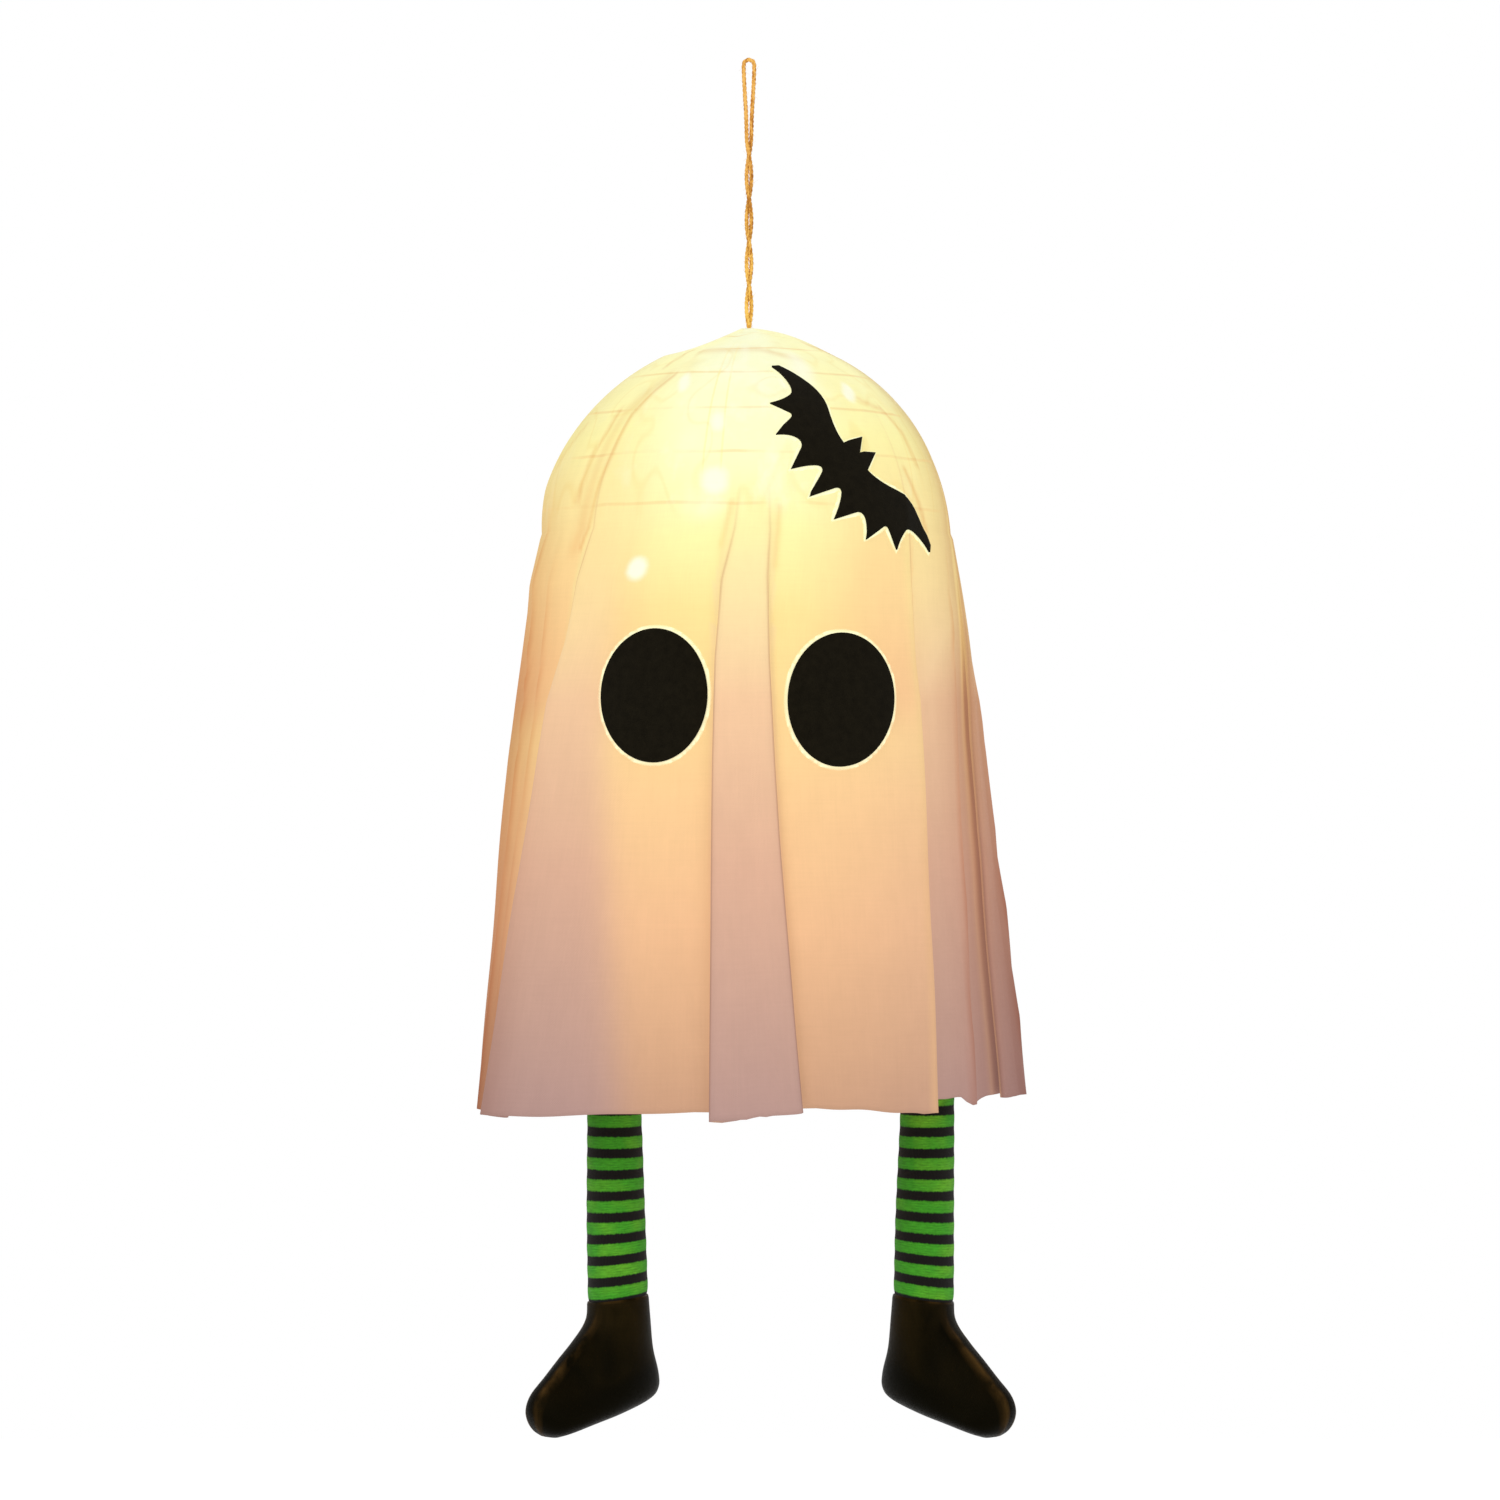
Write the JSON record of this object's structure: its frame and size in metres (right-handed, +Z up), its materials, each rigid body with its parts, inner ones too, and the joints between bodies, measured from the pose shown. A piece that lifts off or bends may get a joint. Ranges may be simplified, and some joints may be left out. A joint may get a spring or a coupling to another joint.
{
  "type": "light-up hanging ghost",
  "caption": "Cloth ghost over a round lit paper lantern, hung by a twine loop, with felt eyes, a felt bat and two striped stuffed legs in boots that swing below the hem.",
  "frame": {"origin": "inside the top of the twine's hanging loop, where a hook bears", "axes": "+Z up along the twine, the ghost's face towards -Y, +X to the viewer's right"},
  "size_m": [0.2753, 0.2589, 0.6885],
  "materials": {
    "twine": "two-ply jute, matt and hairy",
    "cloth": "thin plain weave, lit from inside",
    "felt": "black felt, matt",
    "paper": "thin white lantern paper",
    "wire": "bright drawn steel wire",
    "lamp_wire": "lacquered copper wire",
    "lamp": "clear resin drop over a small lamp",
    "casing": "moulded white plastic, fine grain",
    "knob": "black moulded plastic",
    "cell": "plain wrapped steel can",
    "contact": "plated spring steel",
    "loop_cord": "thin white cord",
    "stocking": "ribbed knit, black and green stripes",
    "boot": "black coated cloth with a satin sheen"
  },
  "bodies": {
    "twine": {"hang_cord": "twine", "hang_knot": "twine"},
    "ghost": {"ghost_cloth": "cloth", "left_eye": "felt", "right_eye": "felt", "bat_patch": "felt", "lantern_paper": "paper", "top_ring": "wire", "bottom_ring": "wire", "rib_1": "wire", "rib_2": "wire", "rib_3": "wire", "rib_4": "wire", "rib_5": "wire", "rib_6": "wire", "rib_7": "wire", "rib_8": "wire", "stretcher": "wire", "lamp_string": "lamp_wire", "lamp_01": "lamp", "lamp_02": "lamp", "lamp_03": "lamp", "lamp_04": "lamp", "lamp_05": "lamp", "lamp_06": "lamp", "lamp_07": "lamp", "lamp_08": "lamp", "lamp_09": "lamp", "lamp_10": "lamp", "lamp_11": "lamp", "lamp_12": "lamp", "lamp_13": "lamp", "lamp_14": "lamp", "lamp_15": "lamp", "lamp_16": "lamp", "lamp_17": "lamp", "lamp_18": "lamp", "lamp_19": "lamp", "lamp_20": "lamp", "battery_case": "casing", "battery_1": "cell", "battery_2": "cell", "contact_bridge": "contact", "contact_1": "contact", "contact_2": "contact", "contact_spring_1": "contact", "contact_spring_2": "contact", "leg_hanger": "wire"},
    "cover": {"battery_cover": "casing"},
    "switch": {"switch_knob": "knob"},
    "left_hip": {"left_hip_ring": "wire"},
    "left_leg": {"left_leg_loop": "loop_cord", "left_stocking": "stocking", "left_boot": "boot"},
    "right_hip": {"right_hip_ring": "wire"},
    "right_leg": {"right_leg_loop": "loop_cord", "right_stocking": "stocking", "right_boot": "boot"}
  },
  "joints": [
    {"name": "ghost_turn", "type": "hinge", "parent": "twine", "child": "ghost", "pos_m": [0, 0, -0.1428], "axis": [0, 0, 1], "range_deg": [-180, 180]},
    {"name": "cover_slide", "type": "slide", "parent": "ghost", "child": "cover", "axis": [0, 0, 1], "range_m": [-0.045, 0]},
    {"name": "switch_slide", "type": "slide", "parent": "ghost", "child": "switch", "axis": [0, 1, 0], "range_m": [-0.004, 0]},
    {"name": "left_leg_swing", "type": "hinge", "parent": "ghost", "child": "left_hip", "pos_m": [-0.0706, 0, -0.33586], "axis": [1, 0, 0], "range_deg": [-18, 18]},
    {"name": "left_leg_sway", "type": "hinge", "parent": "left_hip", "child": "left_leg", "pos_m": [-0.0706, 0, -0.34386], "axis": [0, 1, 0], "range_deg": [-8, 8]},
    {"name": "right_leg_swing", "type": "hinge", "parent": "ghost", "child": "right_hip", "pos_m": [0.0922, 0, -0.33586], "axis": [1, 0, 0], "range_deg": [-18, 18]},
    {"name": "right_leg_sway", "type": "hinge", "parent": "right_hip", "child": "right_leg", "pos_m": [0.0922, 0, -0.34386], "axis": [0, 1, 0], "range_deg": [-3, 8]}
  ]
}
